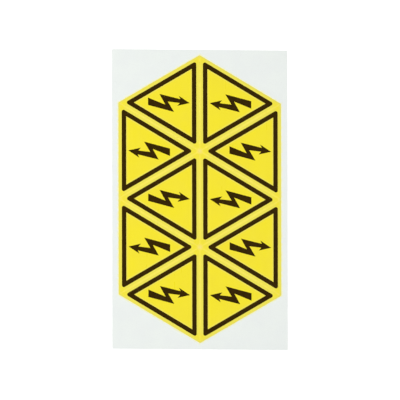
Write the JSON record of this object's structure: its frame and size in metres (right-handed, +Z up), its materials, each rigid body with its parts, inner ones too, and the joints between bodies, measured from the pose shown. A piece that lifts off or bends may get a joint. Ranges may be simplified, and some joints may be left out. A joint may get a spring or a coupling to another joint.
{
  "type": "sheet of high voltage warning labels",
  "caption": "Flat sheet of triangular self-adhesive high voltage warning labels, each printed with a frame and a lightning bolt, kiss-cut edge to edge on a pale release liner.",
  "frame": {"origin": "centre of the liner's underside, on the surface that the sheet lies on", "axes": "+X across the sheet to the right, +Y along its long side to the top, +Z up out of the printed face"},
  "size_m": [0.0936, 0.1562, 0.0003],
  "materials": {
    "release_paper": "smooth silicone-coated satin, plain on the back",
    "yellow_vinyl": "soft gloss",
    "black_ink": "satin screen-printed ink"
  },
  "bodies": {
    "root": {"release_liner": "release_paper", "label_01_film": "yellow_vinyl", "label_01_frame": "black_ink", "label_01_bolt": "black_ink", "label_02_film": "yellow_vinyl", "label_02_frame": "black_ink", "label_02_bolt": "black_ink", "label_03_film": "yellow_vinyl", "label_03_frame": "black_ink", "label_03_bolt": "black_ink", "label_04_film": "yellow_vinyl", "label_04_frame": "black_ink", "label_04_bolt": "black_ink", "label_05_film": "yellow_vinyl", "label_05_frame": "black_ink", "label_05_bolt": "black_ink", "label_06_film": "yellow_vinyl", "label_06_frame": "black_ink", "label_06_bolt": "black_ink", "label_07_film": "yellow_vinyl", "label_07_frame": "black_ink", "label_07_bolt": "black_ink", "label_08_film": "yellow_vinyl", "label_08_frame": "black_ink", "label_08_bolt": "black_ink", "label_09_film": "yellow_vinyl", "label_09_frame": "black_ink", "label_09_bolt": "black_ink", "label_10_film": "yellow_vinyl", "label_10_frame": "black_ink", "label_10_bolt": "black_ink"}
  },
  "joints": []
}
